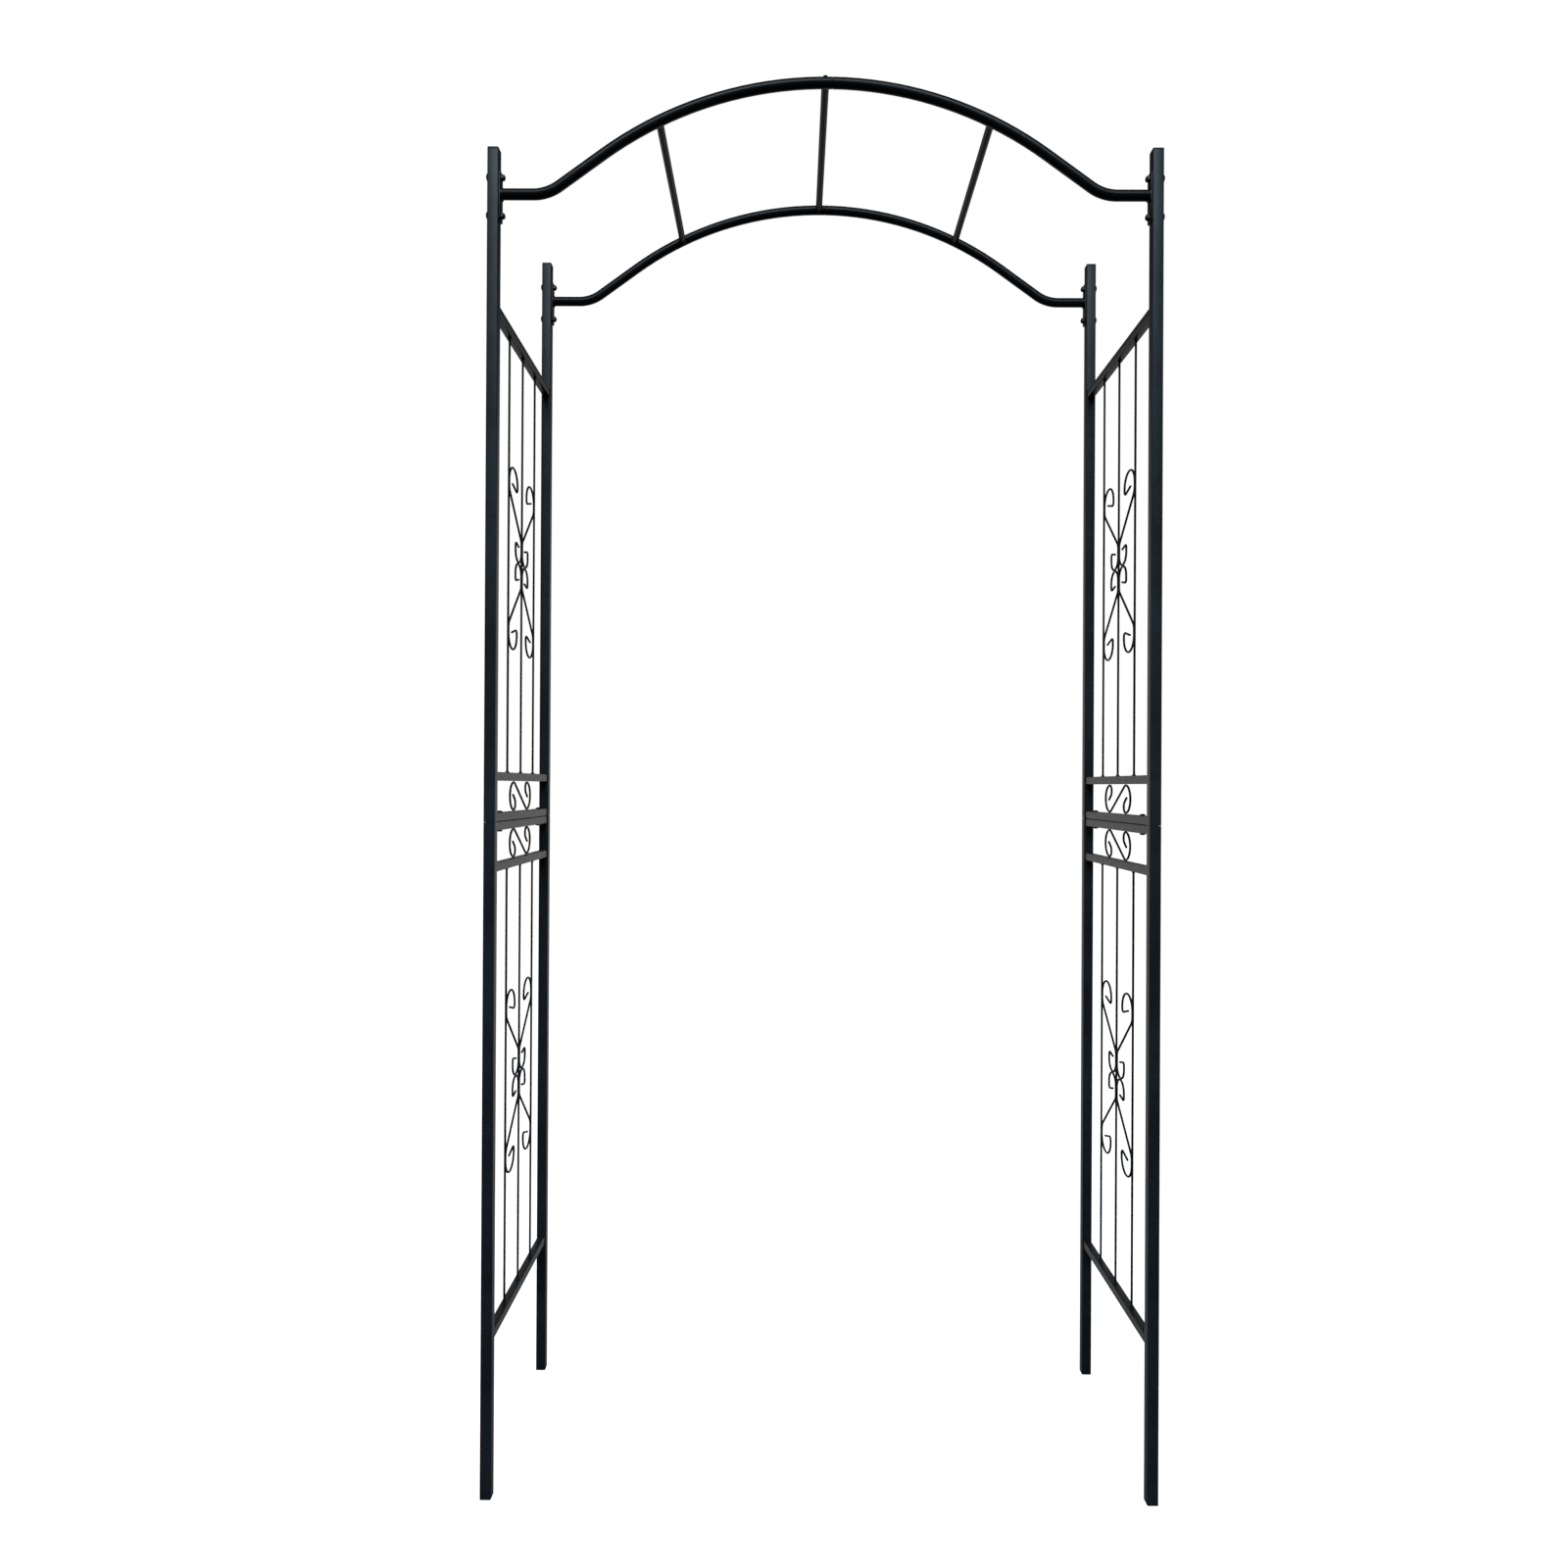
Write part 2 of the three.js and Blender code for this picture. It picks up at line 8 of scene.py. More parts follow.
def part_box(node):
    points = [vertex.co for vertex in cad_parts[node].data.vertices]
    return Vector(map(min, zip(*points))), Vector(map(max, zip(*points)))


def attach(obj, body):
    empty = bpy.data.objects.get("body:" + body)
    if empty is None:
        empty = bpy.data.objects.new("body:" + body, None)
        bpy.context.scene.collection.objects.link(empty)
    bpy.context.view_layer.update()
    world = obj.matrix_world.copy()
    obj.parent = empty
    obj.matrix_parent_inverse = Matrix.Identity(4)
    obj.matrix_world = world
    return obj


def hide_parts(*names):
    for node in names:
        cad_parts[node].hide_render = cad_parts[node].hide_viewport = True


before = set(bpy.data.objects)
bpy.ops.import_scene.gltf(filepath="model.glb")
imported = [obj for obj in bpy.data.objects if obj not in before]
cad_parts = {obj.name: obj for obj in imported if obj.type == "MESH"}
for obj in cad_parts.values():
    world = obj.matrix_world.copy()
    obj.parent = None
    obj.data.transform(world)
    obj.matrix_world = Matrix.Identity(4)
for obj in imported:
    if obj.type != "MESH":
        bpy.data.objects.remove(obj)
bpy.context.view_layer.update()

MM = 0.001

# Stock and bends, the same as the steelwork's
POST_WALL = 0.8 * MM
POST_CORNER = 2 * MM
RAIL_WALL = 0.8 * MM
RAIL_CORNER = 1.5 * MM
FIT_GAP = 0.3 * MM
WIRE_RADIUS = 2 * MM
ROD_PITCH = 90 * MM
WELD_SINK = 1 * MM
HOOP_RADIUS = 9 * MM
HOOP_WALL = 1 * MM
HOOP_RISE = 190 * MM  # from the hoop's ends up to its crown
HOOP_END_RUN = 57 * MM
HOOP_BEND = 75 * MM
HOOP_STRAIGHT = 91 * MM
HOOP_SLOPE = 35.98618  # degrees
CROWN_RADIUS = 640.408 * MM
HOOP_SEAM = 12 * MM  # from the middle to where the half hoops meet
SPIGOT_LENGTH = 32 * MM
FLANGE_THICKNESS = 2.5 * MM
FLANGE_LENGTH = 85 * MM
FLANGE_DROP = 4.5 * MM  # from the hoop's axis down to the flange's middle
FLANGE_CORNER = 3 * MM
CROSSBAR_RADIUS = 6.5 * MM
CAP_LID = 3 * MM
CAP_PLUG_LENGTH = 12 * MM
CAP_PLUG_FIT = 0.4 * MM
HOLE_FIT = 0.5 * MM

# Scrolls, as bends and straight runs of the wire
WIRE_PITCH = 2 * WIRE_RADIUS - WELD_SINK  # between the centres of two wires welded side by side
SCROLL_LEAN = 47.6  # degrees from the rods to a scroll's long straight
SCROLL_INNER_BEND = 12 * MM
SCROLL_OUTER_BEND = 18 * MM
SMALL_CURL_RADIUS = 20 * MM
SMALL_CURL_RUN = 17 * MM  # straight along the centre rod
SMALL_CURL_HOOK = [("run", 8 * MM), ("turn", 104, 5 * MM), ("run", 17 * MM)]
BIG_CURL_RADIUS = 27.5 * MM
BIG_CURL_RUN = 9 * MM  # straight along the outer rod
BIG_CURL_HOOK = [("run", 4 * MM), ("turn", 106, 6 * MM), ("run", 27 * MM)]
BAY_SLOPE = 31  # degrees from the rails to the straight
BAY_BEND = 15 * MM
BAY_HOOK = [("turn", 145, 11 * MM), ("run", 14 * MM)]

# Fasteners: shank radius, head radius and height, nut width across flats and height, bare tip
FLANGE_BOLT = {
    "shank": 3 * MM, "head": (6.5 * MM, 3.5 * MM), "nut": (10 * MM, 5 * MM), "tip": 1.4 * MM,
}
JOINT_BOLT = {
    "shank": 2.5 * MM, "head": (5 * MM, 2.8 * MM), "nut": (8 * MM, 2.7 * MM), "tip": 0.3 * MM,
}
CROWN_SCREW = {"shank": 2 * MM, "head": (4.2 * MM, 3 * MM), "length": 11 * MM}

# Weld beads
RAIL_BEAD = 2.6 * MM
TACK_BEAD = 4.2 * MM
TACK_LENGTH = 11 * MM
TACK_SQUEEZE = 0.8
SMALL_CURL_TACK = 28 * MM  # above the middle of the scroll figure
BEAD_PITCH = 1.1 * MM
FLANGE_BEAD = 3.1 * MM
FLANGE_RIPPLES = 24
CROSSBAR_BEAD = 1.5 * MM

SIDES = {"left": -1, "right": 1}
ENDS = {"front": -1, "rear": 1}
X, Y, Z = Vector((1, 0, 0)), Vector((0, 1, 0)), Vector((0, 0, 1))


def middle(node):
    low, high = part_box(node)
    return (low + high) / 2


def size(node):
    low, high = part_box(node)
    return high - low


POST_SIDE = size("upper_post_front_left").x
POST_X = middle("upper_post_front_right").x
POST_Y = middle("upper_post_rear_right").y
JOINT_Z = (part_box("upper_joint_rail_left")[0].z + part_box("lower_joint_rail_left")[1].z) / 2
POST_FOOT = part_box("upper_post_front_left")[0].z - JOINT_Z
POST_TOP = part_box("upper_post_front_left")[1].z - JOINT_Z
CAP_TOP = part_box("top_cap_front_left")[1].z - JOINT_Z
RAIL_SIDE = size("upper_joint_rail_left").x
RAIL_LENGTH = size("upper_joint_rail_left").y
JOINT_RAIL_Z = middle("upper_joint_rail_left").z - JOINT_Z
MIDDLE_RAIL_Z = middle("upper_middle_rail_left").z - JOINT_Z
OUTER_RAIL_Z = middle("upper_outer_rail_left").z - JOINT_Z
JOINT_BOLT_Y = middle("joint_bolt_rear_left").y
HALF_SPAN = POST_X - POST_SIDE / 2
FLANGE_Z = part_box("hoop_half_front_left")[0].z + FLANGE_LENGTH / 2
HOOP_END_Z = FLANGE_Z + FLANGE_DROP
CROWN_Z = HOOP_END_Z + HOOP_RISE


# ---------------------------------------------------------------- bench work

def clear():
    """Lets go of every piece."""
    bpy.ops.object.select_all(action="DESELECT")


def fixed(name):
    """Names the new primitive and settles its place and size into its mesh."""
    piece = bpy.context.object
    piece.name = name
    bpy.ops.object.transform_apply(location=True, rotation=True, scale=True)
    return piece


def edit():
    bpy.ops.object.mode_set(mode="EDIT")


def leave():
    """Closes the seams of the piece being edited and turns its faces outward."""
    bpy.ops.mesh.select_all(action="SELECT")
    bpy.ops.mesh.remove_doubles(threshold=1e-6)
    bpy.ops.mesh.normals_make_consistent(inside=False)
    bpy.ops.object.mode_set(mode="OBJECT")


def pick(kind, test):
    """Selects the faces or edges that pass a test."""
    bpy.ops.mesh.select_mode(type=kind)
    bpy.ops.mesh.select_all(action="DESELECT")
    mesh = bmesh.from_edit_mesh(bpy.context.object.data)
    for element in mesh.faces if kind == "FACE" else mesh.edges:
        if test(element):
            element.select_set(True)
    bmesh.update_edit_mesh(bpy.context.object.data)


def take(piece):
    clear()
    piece.select_set(True)
    bpy.context.view_layer.objects.active = piece


def smooth(piece, degrees=35):
    take(piece)
    bpy.ops.object.shade_smooth_by_angle(angle=math.radians(degrees))
    return piece


def facing(direction):
    return Vector(direction).to_track_quat("Z", "Y")


def carve(piece, tool, operation):
    """Cuts a piece with a tool, or keeps what the two share."""
    take(piece)
    cut = piece.modifiers.new("carve", "BOOLEAN")
    cut.operation = operation
    cut.solver = "EXACT"
    cut.object = tool
    bpy.ops.object.modifier_apply(modifier=cut.name)
    bpy.data.objects.remove(tool)


def round_bar(name, radius, length, centre, axis, sides=32):
    clear()
    bpy.ops.mesh.primitive_cylinder_add(
        vertices=sides, radius=radius, depth=length, location=centre,
        rotation=facing(axis).to_euler(),
    )
    return fixed(name)


def drill(piece, centre, radius, length, axis):
    carve(piece, round_bar("drill", radius, length, centre, axis), "DIFFERENCE")


def soften(piece, width, segments=2, angle=30):
    """Rounds a piece's sharp edges."""
    take(piece)
    edge = piece.modifiers.new("soften", "BEVEL")
    edge.width = width
    edge.segments = segments
    edge.limit_method = "ANGLE"
    edge.angle_limit = math.radians(angle)
    bpy.ops.object.modifier_apply(modifier=edge.name)


def turned(name, profile, sides=32):
    """A lathe-turned solid about Z: rings of (radius, height), drawn up one by one."""
    clear()
    radius, height = profile[0]
    bpy.ops.mesh.primitive_circle_add(
        vertices=sides, radius=radius, fill_type="NGON", location=(0, 0, height)
    )
    piece = fixed(name)
    edit()
    bpy.ops.mesh.select_all(action="SELECT")
    for wide, high in profile[1:]:
        bpy.ops.mesh.extrude_region_move(
            TRANSFORM_OT_translate={"value": (0, 0, high - height)}
        )
        bpy.ops.transform.resize(
            value=(wide / radius, wide / radius, 1), center_override=(0, 0, high)
        )
        radius, height = wide, high
    leave()
    return piece


def headed(heading, plane):
    """The way ahead and the way to the left at a heading in a plane."""
    first, second = plane
    angle = math.radians(heading)
    ahead = first * math.cos(angle) + second * math.sin(angle)
    left = second * math.cos(angle) - first * math.sin(angle)
    return ahead, left


def lead(at, heading, moves, plane, finest):
    """Draws the selected face along runs ("run", length) and bends ("turn", degrees, radius).
    Bends are positive to the left; headings are degrees from the plane's first direction."""
    axis = plane[1].cross(plane[0])
    at = Vector(at)
    for kind, amount, *radius in moves:
        ahead, left = headed(heading, plane)
        if kind == "run":
            bpy.ops.mesh.extrude_region_move(
                TRANSFORM_OT_translate={"value": ahead * amount}
            )
            at += ahead * amount
            continue
        reach = math.copysign(radius[0], amount)
        centre = at + left * reach
        bpy.ops.mesh.spin(
            steps=max(2, math.ceil(abs(amount) / finest)), angle=math.radians(amount),
            center=centre, axis=axis,
        )
        heading += amount
        at = centre - headed(heading, plane)[1] * reach
    return at, heading


def start_bar(name, radius, at, heading, plane, sides):
    """A round end face, ready to be led along its bends."""
    ahead, _ = headed(heading, plane)
    clear()
    bpy.ops.mesh.primitive_circle_add(
        vertices=sides, radius=radius, fill_type="NGON", location=at,
        rotation=facing(ahead).to_euler(),
    )
    piece = fixed(name)
    edit()
    bpy.ops.mesh.select_mode(type="FACE")
    bpy.ops.mesh.select_all(action="SELECT")
    return piece


def bent_wire(name, at, heading, ahead, back, plane):
    """A wire bent both ways from a point on it, with its two cut ends rounded off."""
    sides = 12
    at = Vector(at)
    piece = start_bar(name, WIRE_RADIUS, at, heading, plane, sides)
    lead(at, heading, ahead, plane, 9)
    pick("FACE", lambda face: (face.calc_center_median() - at).length < WIRE_RADIUS / 4)
    lead(at, heading + 180, back, plane, 9)
    pick("FACE", lambda face: len(face.verts) == sides)
    bpy.ops.mesh.bevel(offset=0.6 * MM, segments=2, affect="EDGES")
    leave()
    return smooth(piece)


def square_tube(name, side, wall, corner, bottom, top):
    """An open square tube along Z, with rounded corners."""
    clear()
    bpy.ops.mesh.primitive_cube_add(
        size=1, location=(0, 0, (bottom + top) / 2), scale=(side, side, top - bottom)
    )
    piece = fixed(name)
    edit()
    pick("EDGE", lambda edge: abs(edge.verts[0].co.z - edge.verts[1].co.z) > side)
    bpy.ops.mesh.bevel(offset=corner, segments=4, affect="EDGES")
    pick("FACE", lambda face: abs(face.normal.z) > 0.9)
    bpy.ops.mesh.inset(thickness=wall, depth=0)
    bpy.ops.mesh.bridge_edge_loops()
    leave()
    return piece


def copy_to(pattern, name, place):
    """A copy of a pattern with its own mesh, settled at a place."""
    piece = bpy.data.objects.new(name, pattern.data.copy())
    piece.data.transform(place)
    if place.determinant() < 0:
        piece.data.flip_normals()
    bpy.context.scene.collection.objects.link(piece)
    return piece


def joined(name, pieces):
    """Several pieces as one."""
    clear()
    for piece in pieces:
        piece.select_set(True)
    bpy.context.view_layer.objects.active = pieces[0]
    bpy.ops.object.join()
    pieces[0].name = name
    pieces[0].data.name = name
    return pieces[0]


def fit(piece, finish, *nodes):
    """Paints a piece, hangs it on the arch and hides the steelwork it stands in for."""
    piece.data.materials.clear()
    piece.data.materials.append(FINISHES[finish])
    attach(piece, "root")
    if nodes:
        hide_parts(*nodes)


# ---------------------------------------------------------------- finishes

class Value:
    """A number that a socket carries; sums on it add Math nodes."""

    def __init__(self, paint, socket):
        self.paint = paint
        self.socket = socket

    def sum(self, operation, a, b):
        node = self.paint.add("ShaderNodeMath", {"operation": operation}, {0: a, 1: b})
        return Value(self.paint, node.outputs[0])

    def __add__(self, other):
        return self.sum("ADD", self, other)

    def __sub__(self, other):
        return self.sum("SUBTRACT", self, other)

    def __rsub__(self, other):
        return self.sum("SUBTRACT", other, self)

    def __mul__(self, other):
        return self.sum("MULTIPLY", self, other)

    __radd__ = __add__
    __rmul__ = __mul__


class Paint:
    """A finish, or the light all round, under construction."""

    def __init__(self, owner):
        owner.use_nodes = True
        self.tree = owner.node_tree
        self.tree.nodes.clear()
        self.coordinates = self.add("ShaderNodeTexCoord").outputs
        self.place = self.coordinates["Object"]

    def add(self, kind, settings=None, inputs=None):
        node = self.tree.nodes.new(kind)
        for name, setting in (settings or {}).items():
            setattr(node, name, setting)
        for name, value in (inputs or {}).items():
            value = value.socket if isinstance(value, Value) else value
            if isinstance(value, bpy.types.NodeSocket):
                self.tree.links.new(value, node.inputs[name])
            else:
                node.inputs[name].default_value = value
        return node

    def clouds(self, scale, detail=3.0, roughness=0.5):
        node = self.add(
            "ShaderNodeTexNoise", None,
            {"Vector": self.place, "Scale": scale, "Detail": detail, "Roughness": roughness},
        )
        return Value(self, node.outputs[0])

    def between(self, value, low, high):
        """0 below low, 1 above high, and a soft step between."""
        node = self.add(
            "ShaderNodeMapRange", {"interpolation_type": "SMOOTHSTEP"},
            {"Value": value, "From Min": low, "From Max": high},
        )
        return Value(self, node.outputs[0])

    def blend(self, mask, under, over):
        node = self.add(
            "ShaderNodeMix", {"data_type": "RGBA"}, {"Factor": mask, 6: under, 7: over}
        )
        return node.outputs[2]

    def edges(self, radius):
        """1 on sharp edges within a radius, 0 on the flats."""
        rounded = self.add("ShaderNodeBevel", {"samples": 4}, {"Radius": radius})
        plain = self.add("ShaderNodeNewGeometry")
        agree = self.add(
            "ShaderNodeVectorMath", {"operation": "DOT_PRODUCT"},
            {0: rounded.outputs[0], 1: plain.outputs["Normal"]},
        )
        return 1 - Value(self, agree.outputs["Value"])

    def up(self):
        """1 where the surface faces the sky."""
        plain = self.add("ShaderNodeNewGeometry")
        apart = self.add("ShaderNodeSeparateXYZ", None, {0: plain.outputs["Normal"]})
        return self.between(Value(self, apart.outputs[2]), 0.5, 0.95)

    def finish(self, colour, roughness, height, depth, **others):
        bump = self.add(
            "ShaderNodeBump", None, {"Strength": 1.0, "Distance": depth, "Height": height}
        )
        inputs = {"Base Color": colour, "Roughness": roughness, "Normal": bump.outputs[0]}
        inputs.update({name.replace("_", " "): value for name, value in others.items()})
        shader = self.add("ShaderNodeBsdfPrincipled", None, inputs)
        self.add("ShaderNodeOutputMaterial", None, {"Surface": shader.outputs[0]})


def shade(colour, factor):
    return tuple(c * factor for c in colour) + (1.0,)


def powder_coat(name, colour, gloss, sheen):
    """Baked satin paint: drifting shade, orange peel, thin paint on the corners, a little dust."""
    material = bpy.data.materials.new(name)
    paint = Paint(material)
    drift = paint.clouds(7, 4)
    mottle = paint.clouds(60, 3)
    peel = paint.clouds(950, 2)
    grit = paint.clouds(3600, 2)
    rubbed = paint.between(paint.edges(0.8 * MM) + 0.25 * paint.clouds(240, 4), 0.22, 0.42)
    dust = paint.up() * paint.between(paint.clouds(34, 5, 0.65), 0.42, 0.72)
    shift = paint.between(drift + 0.35 * mottle, 0.45, 0.9)
    body = paint.blend(shift, shade(colour, 0.72), shade(colour, 1.3))
    body = paint.blend(rubbed * 0.55, body, shade(colour, 3.2))
    body = paint.blend(dust * 0.3, body, (0.09, 0.085, 0.08, 1.0))
    rough = gloss + 0.12 * (peel - 0.5) + 0.1 * (mottle - 0.5) - 0.08 * rubbed + 0.16 * dust
    texture = peel * 0.8 + grit * 0.2
    paint.finish(body, rough, texture, 0.09 * MM, Specular_IOR_Level=sheen)
    return material


def moulded_plastic(name, colour):
    """Matt black polythene with a fine spark-eroded grain and scuffed rims."""
    material = bpy.data.materials.new(name)
    paint = Paint(material)
    grain = paint.clouds(2400, 3, 0.6)
    flow = paint.clouds(90, 3)
    scuffed = paint.between(paint.edges(0.7 * MM) + 0.3 * paint.clouds(400, 4), 0.24, 0.46)
    body = paint.blend(paint.between(flow, 0.3, 0.7), shade(colour, 0.75), shade(colour, 1.25))
    body = paint.blend(scuffed * 0.5, body, (0.045, 0.045, 0.047, 1.0))
    rough = 0.58 + 0.14 * (grain - 0.5) + 0.05 * flow
    paint.finish(body, rough, grain, 0.08 * MM, Specular_IOR_Level=0.4)
    return material


def blackened_steel(name, colour):
    """Black-finished bolts: worn bright on the corners and slightly streaked."""
    material = bpy.data.materials.new(name)
    paint = Paint(material)
    tumble = paint.clouds(700, 3, 0.6)
    bloom = paint.clouds(150, 4)
    worn = paint.between(paint.edges(0.5 * MM) + 0.2 * tumble, 0.2, 0.45)
    body = paint.blend(paint.between(bloom, 0.35, 0.7), shade(colour, 0.7), shade(colour, 1.4))
    body = paint.blend(worn * 0.5, body, (0.12, 0.12, 0.125, 1.0))
    rough = 0.36 + 0.16 * (bloom - 0.5) + 0.1 * (tumble - 0.5) - 0.06 * worn
    bump = tumble * 0.6 + bloom * 0.4
    paint.finish(body, rough, bump, 0.05 * MM, Metallic=0.3 + 0.5 * worn)
    return material


FINISHES = {
    # The posts' lighter, bluish colour is painted light: the same black coat, lightened to stand in
    # for light reflected off their fronts
    "post_paint": powder_coat("post_paint", (0.0245, 0.0315, 0.038), 0.36, 0.26),
    # The rails' lighter grey is painted light: the same black coat, lightened to stand in for the
    # backdrop reflected in them
    "rail_paint": powder_coat("rail_paint", (0.0205, 0.023, 0.026), 0.36, 0.38),
    # The wires' near-black is the coat's own colour; on the panel welds it is painted shade, darker
    # than the rails they join
    "wire_paint": powder_coat("wire_paint", (0.0045, 0.005, 0.0056), 0.42, 0.2),
    "hoop_paint": powder_coat("hoop_paint", (0.004, 0.0045, 0.0055), 0.36, 0.2),
    "cap_plastic": moulded_plastic("cap_plastic", (0.009, 0.009, 0.0095)),
    "fastener_black": blackened_steel("fastener_black", (0.012, 0.012, 0.013)),
}


# ---------------------------------------------------------------- side panels
# A panel is drawn with its joint end at z = 0, its capped end upwards and x = 0 through its
# posts. The lower panels are turned over: the left one front to back, the right one side to side.

half_turn_x = Matrix.Rotation(math.pi, 4, "X")
half_turn_y = Matrix.Rotation(math.pi, 4, "Y")
half_turn_z = Matrix.Rotation(math.pi, 4, "Z")
PANELS = {
    ("upper", "left"): Matrix.Translation((-POST_X, 0, JOINT_Z)),
    ("upper", "right"): Matrix.Translation((POST_X, 0, JOINT_Z)),
    ("lower", "left"): Matrix.Translation((-POST_X, 0, JOINT_Z)) @ half_turn_x,
    ("lower", "right"): Matrix.Translation((POST_X, 0, JOINT_Z)) @ half_turn_y,
}


def post_pattern(drilled):
    """A post, the upper one with the holes of the flange bolts."""
    post = square_tube("post_pattern", POST_SIDE, POST_WALL, POST_CORNER, POST_FOOT, POST_TOP)
    if drilled:
        for level in ("upper", "lower"):
            height = middle(f"flange_bolt_{level}_front_left").z - JOINT_Z
            drill(post, (0, 0, height), FLANGE_BOLT["shank"] + HOLE_FIT, 2 * POST_SIDE, X)
    return smooth(post)


def rail_pattern(drilled):
    """A rail along Y, the joint rail with the holes of its bolts."""
    rail = square_tube("rail_pattern", RAIL_SIDE, RAIL_WALL, RAIL_CORNER, 0, RAIL_LENGTH)
    rail.data.transform(Matrix.Rotation(math.pi / 2, 4, "X"))
    rail.data.transform(Matrix.Translation((0, RAIL_LENGTH / 2, 0)))
    if drilled:
        for way in (-1, 1):
            hole = (0, way * JOINT_BOLT_Y, 0)
            drill(rail, hole, JOINT_BOLT["shank"] + HOLE_FIT, 2 * RAIL_SIDE, Z)
    return smooth(rail)


def cap_pattern():
    """A press-in plug: a lid with softened edges over a ribbed stem."""
    clear()
    bpy.ops.mesh.primitive_cube_add(
        size=1, location=(0, 0, -CAP_LID / 2), scale=(POST_SIDE, POST_SIDE, CAP_LID)
    )
    cap = fixed("cap_pattern")
    edit()
    pick("EDGE", lambda edge: abs(edge.verts[0].co.z - edge.verts[1].co.z) > CAP_LID / 2)
    bpy.ops.mesh.bevel(offset=POST_CORNER, segments=4, affect="EDGES")
    pick("EDGE", lambda edge: all(v.co.z > -CAP_LID / 4 for v in edge.verts))
    bpy.ops.mesh.bevel(offset=0.7 * MM, segments=3, affect="EDGES")
    pick("FACE", lambda face: face.normal.z < -0.9)
    bpy.ops.mesh.bevel(offset=0.3 * MM, segments=1, affect="EDGES")
    pick("FACE", lambda face: face.normal.z < -0.9)
    bpy.ops.mesh.inset(thickness=POST_WALL + CAP_PLUG_FIT, depth=0)
    rib = CAP_PLUG_LENGTH / 8
    low = -CAP_LID
    for share in (1, 1.03, 1 / 1.03, 1, 1.03, 1 / 1.03, 1, 0.94):
        bpy.ops.mesh.extrude_region_move(TRANSFORM_OT_translate={"value": (0, 0, -rib)})
        low -= rib
        bpy.ops.transform.resize(value=(share, share, 1), center_override=(0, 0, low))
    leave()
    return smooth(cap, 40)


def rod_pattern():
    """A rod from the middle rail to the outer rail."""
    low = MIDDLE_RAIL_Z + RAIL_SIDE / 2
    high = OUTER_RAIL_Z - RAIL_SIDE / 2
    return smooth(round_bar("rod_pattern", WIRE_RADIUS, high - low, (0, 0, (low + high) / 2), Z, 16))


# A double-curl scroll starts where its small curl meets its run along the centre rod, crosses
# to the outer rod and runs along that before its big curl. Heights are from the figure's middle.
LEAN = math.radians(SCROLL_LEAN)
SCROLL_BENDS = SCROLL_INNER_BEND + SCROLL_OUTER_BEND
SCROLL_CROSSING = ROD_PITCH - 2 * WIRE_PITCH - SCROLL_BENDS * (1 - math.cos(LEAN))
SCROLL_START = WIRE_PITCH / 2 + SMALL_CURL_RADIUS
BIG_CURL_TACK = (
    SCROLL_START + SMALL_CURL_RUN + SCROLL_BENDS * math.sin(LEAN)
    + SCROLL_CROSSING / math.tan(LEAN) + BIG_CURL_RUN / 2
)


def curl_scroll_pattern():
    """The rear upper quarter of the four-scroll figure, about the figure's middle."""
    ahead = [
        ("run", SMALL_CURL_RUN), ("turn", -SCROLL_LEAN, SCROLL_INNER_BEND),
        ("run", SCROLL_CROSSING / math.sin(LEAN)), ("turn", SCROLL_LEAN, SCROLL_OUTER_BEND),
        ("run", BIG_CURL_RUN), ("turn", 180, BIG_CURL_RADIUS), *BIG_CURL_HOOK,
    ]
    back = [("turn", 180, SMALL_CURL_RADIUS), *SMALL_CURL_HOOK]
    start = (0, WIRE_PITCH, SCROLL_START)
    return bent_wire("curl_pattern", start, 90, ahead, back, (Y, Z))


def bay_scroll_pattern():
    """The S in the narrow bay, about the bay's middle."""
    slope = math.radians(BAY_SLOPE)
    curl = (MIDDLE_RAIL_Z - JOINT_RAIL_Z - RAIL_SIDE) / 2 - FIT_GAP - WIRE_RADIUS
    straight = (2 * curl - 2 * BAY_BEND * (1 - math.cos(slope))) / math.sin(slope)
    half = [("run", straight / 2), ("turn", BAY_SLOPE, BAY_BEND), ("turn", 180, curl), *BAY_HOOK]
    return bent_wire("bay_pattern", (0, 0, 0), -BAY_SLOPE, half, half, (Y, Z))


def ripple_bead(name, length, width):
    """A straight weld bead along Z, centred, with the ripples that a hand-fed weld leaves."""
    ripples = max(3, round(length / BEAD_PITCH))
    pitch = length / (ripples + 1)
    profile = [(width * 0.22, -length / 2)]
    for i in range(ripples):
        height = -length / 2 + pitch * (i + 0.75)
        profile += [(width * 0.5, height), (width * 0.43, height + pitch * 0.45)]
    profile.append((width * 0.24, length / 2))
    return turned(name, profile, 10)


def rail_weld_pattern():
    """Beads round the four sides of a rail's end, about the rail's axis, in the plane of its end."""
    bead = ripple_bead("bead", RAIL_SIDE - RAIL_CORNER, RAIL_BEAD)
    side = Matrix.Translation((RAIL_SIDE / 2, 0, 0))
    sides = []
    for quarter in range(4):
        turn = Matrix.Rotation(quarter * math.pi / 2, 4, "Y")
        sides.append(copy_to(bead, f"bead_{quarter}", turn @ side))
    bpy.data.objects.remove(bead)
    return joined("rail_weld_pattern", sides)


def rod_weld_pattern():
    """The blob at a rod's foot, standing on z = 0."""
    profile = [
        (4.1 * MM, -0.3 * MM), (4.2 * MM, 0.2 * MM), (3.8 * MM, 0.9 * MM), (3.1 * MM, 1.5 * MM),
        (2.6 * MM, 2.2 * MM), (2.2 * MM, 3.1 * MM), (1.9 * MM, 3.5 * MM),
    ]
    blob = turned("rod_weld_pattern", profile, 18)
    edit()
    bpy.ops.mesh.select_all(action="SELECT")
    bpy.ops.transform.vertex_random(offset=0.25 * MM, seed=4)
    bpy.ops.mesh.vertices_smooth(factor=0.5, repeat=1)
    leave()
    return blob


